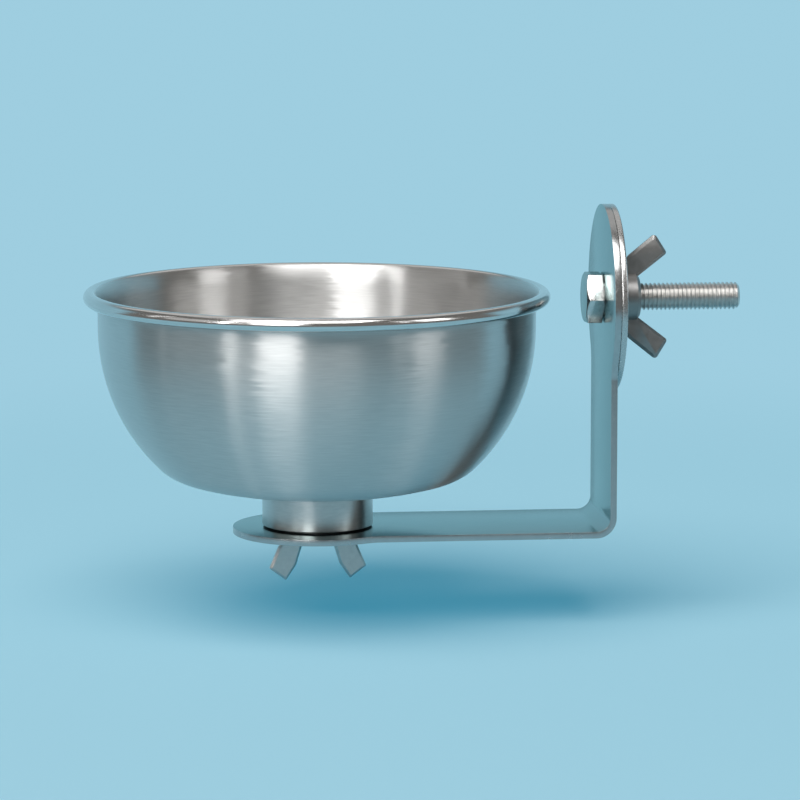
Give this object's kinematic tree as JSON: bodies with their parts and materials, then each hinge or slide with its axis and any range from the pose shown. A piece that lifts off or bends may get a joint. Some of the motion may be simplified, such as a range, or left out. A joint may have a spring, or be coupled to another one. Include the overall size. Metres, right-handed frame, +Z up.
{
  "type": "seed cup with a cage clamp",
  "caption": "Round steel seed cup on a swivel arm, clamped to cage wires by a bolt with a large washer and a wing nut.",
  "frame": {"origin": "middle of the bracket's face that bears on the cage wires, on the axis of the clamp bolt", "axes": "+X out through the cage wires along the clamp bolt, +Z up along the bowl's axis, the bowl is at -X"},
  "size_m": [0.1898, 0.1342, 0.108],
  "materials": {
    "spun_steel": "spun and brushed round the axis, rim polished",
    "turned_steel": "turned",
    "plate_steel": "satin",
    "bolt_steel": "bright",
    "nut_steel": "tumbled"
  },
  "bodies": {
    "bracket": {"bracket": "plate_steel"},
    "cup": {"bowl": "spun_steel", "collar": "turned_steel", "cup_stud": "bolt_steel"},
    "cup_washer": {"cup_washer": "plate_steel"},
    "cup_wing_nut": {"cup_wing_nut": "nut_steel"},
    "clamp_bolt": {"clamp_bolt": "bolt_steel"},
    "clamp_washer": {"clamp_washer": "plate_steel"},
    "clamp_wing_nut": {"clamp_wing_nut": "nut_steel"}
  },
  "joints": [
    {"name": "cup_swivel", "type": "hinge", "parent": "bracket", "child": "cup", "pos_m": [-0.0845, 0, -0.0655], "axis": [0, 0, 1], "continuous": true},
    {"name": "cup_washer_drop", "type": "slide", "parent": "cup", "child": "cup_washer", "axis": [0, 0, -1], "range_m": [0, 0.002]},
    {"name": "cup_nut_turn", "type": "hinge", "parent": "cup_washer", "child": "cup_wing_nut", "pos_m": [-0.0845, 0, -0.069], "axis": [0, 0, -1], "range_deg": [0, 720]},
    {"name": "clamp_bolt_turn", "type": "hinge", "parent": "bracket", "child": "clamp_bolt", "pos_m": [0, 0, 0], "axis": [1, 0, 0], "continuous": true},
    {"name": "clamp_washer_travel", "type": "slide", "parent": "clamp_bolt", "child": "clamp_washer", "axis": [1, 0, 0], "range_m": [0, 0.02875]},
    {"name": "clamp_nut_turn", "type": "hinge", "parent": "clamp_washer", "child": "clamp_wing_nut", "pos_m": [0.005, 0, 0], "axis": [1, 0, 0], "range_deg": [0, 8280]}
  ],
  "couplings": [
    {"joint": "cup_washer_drop", "follows": "cup_nut_turn", "m_per_rad": 0.00015915},
    {"joint": "clamp_nut_turn", "follows": "clamp_washer_travel", "rad_per_m": 5026.5}
  ]
}
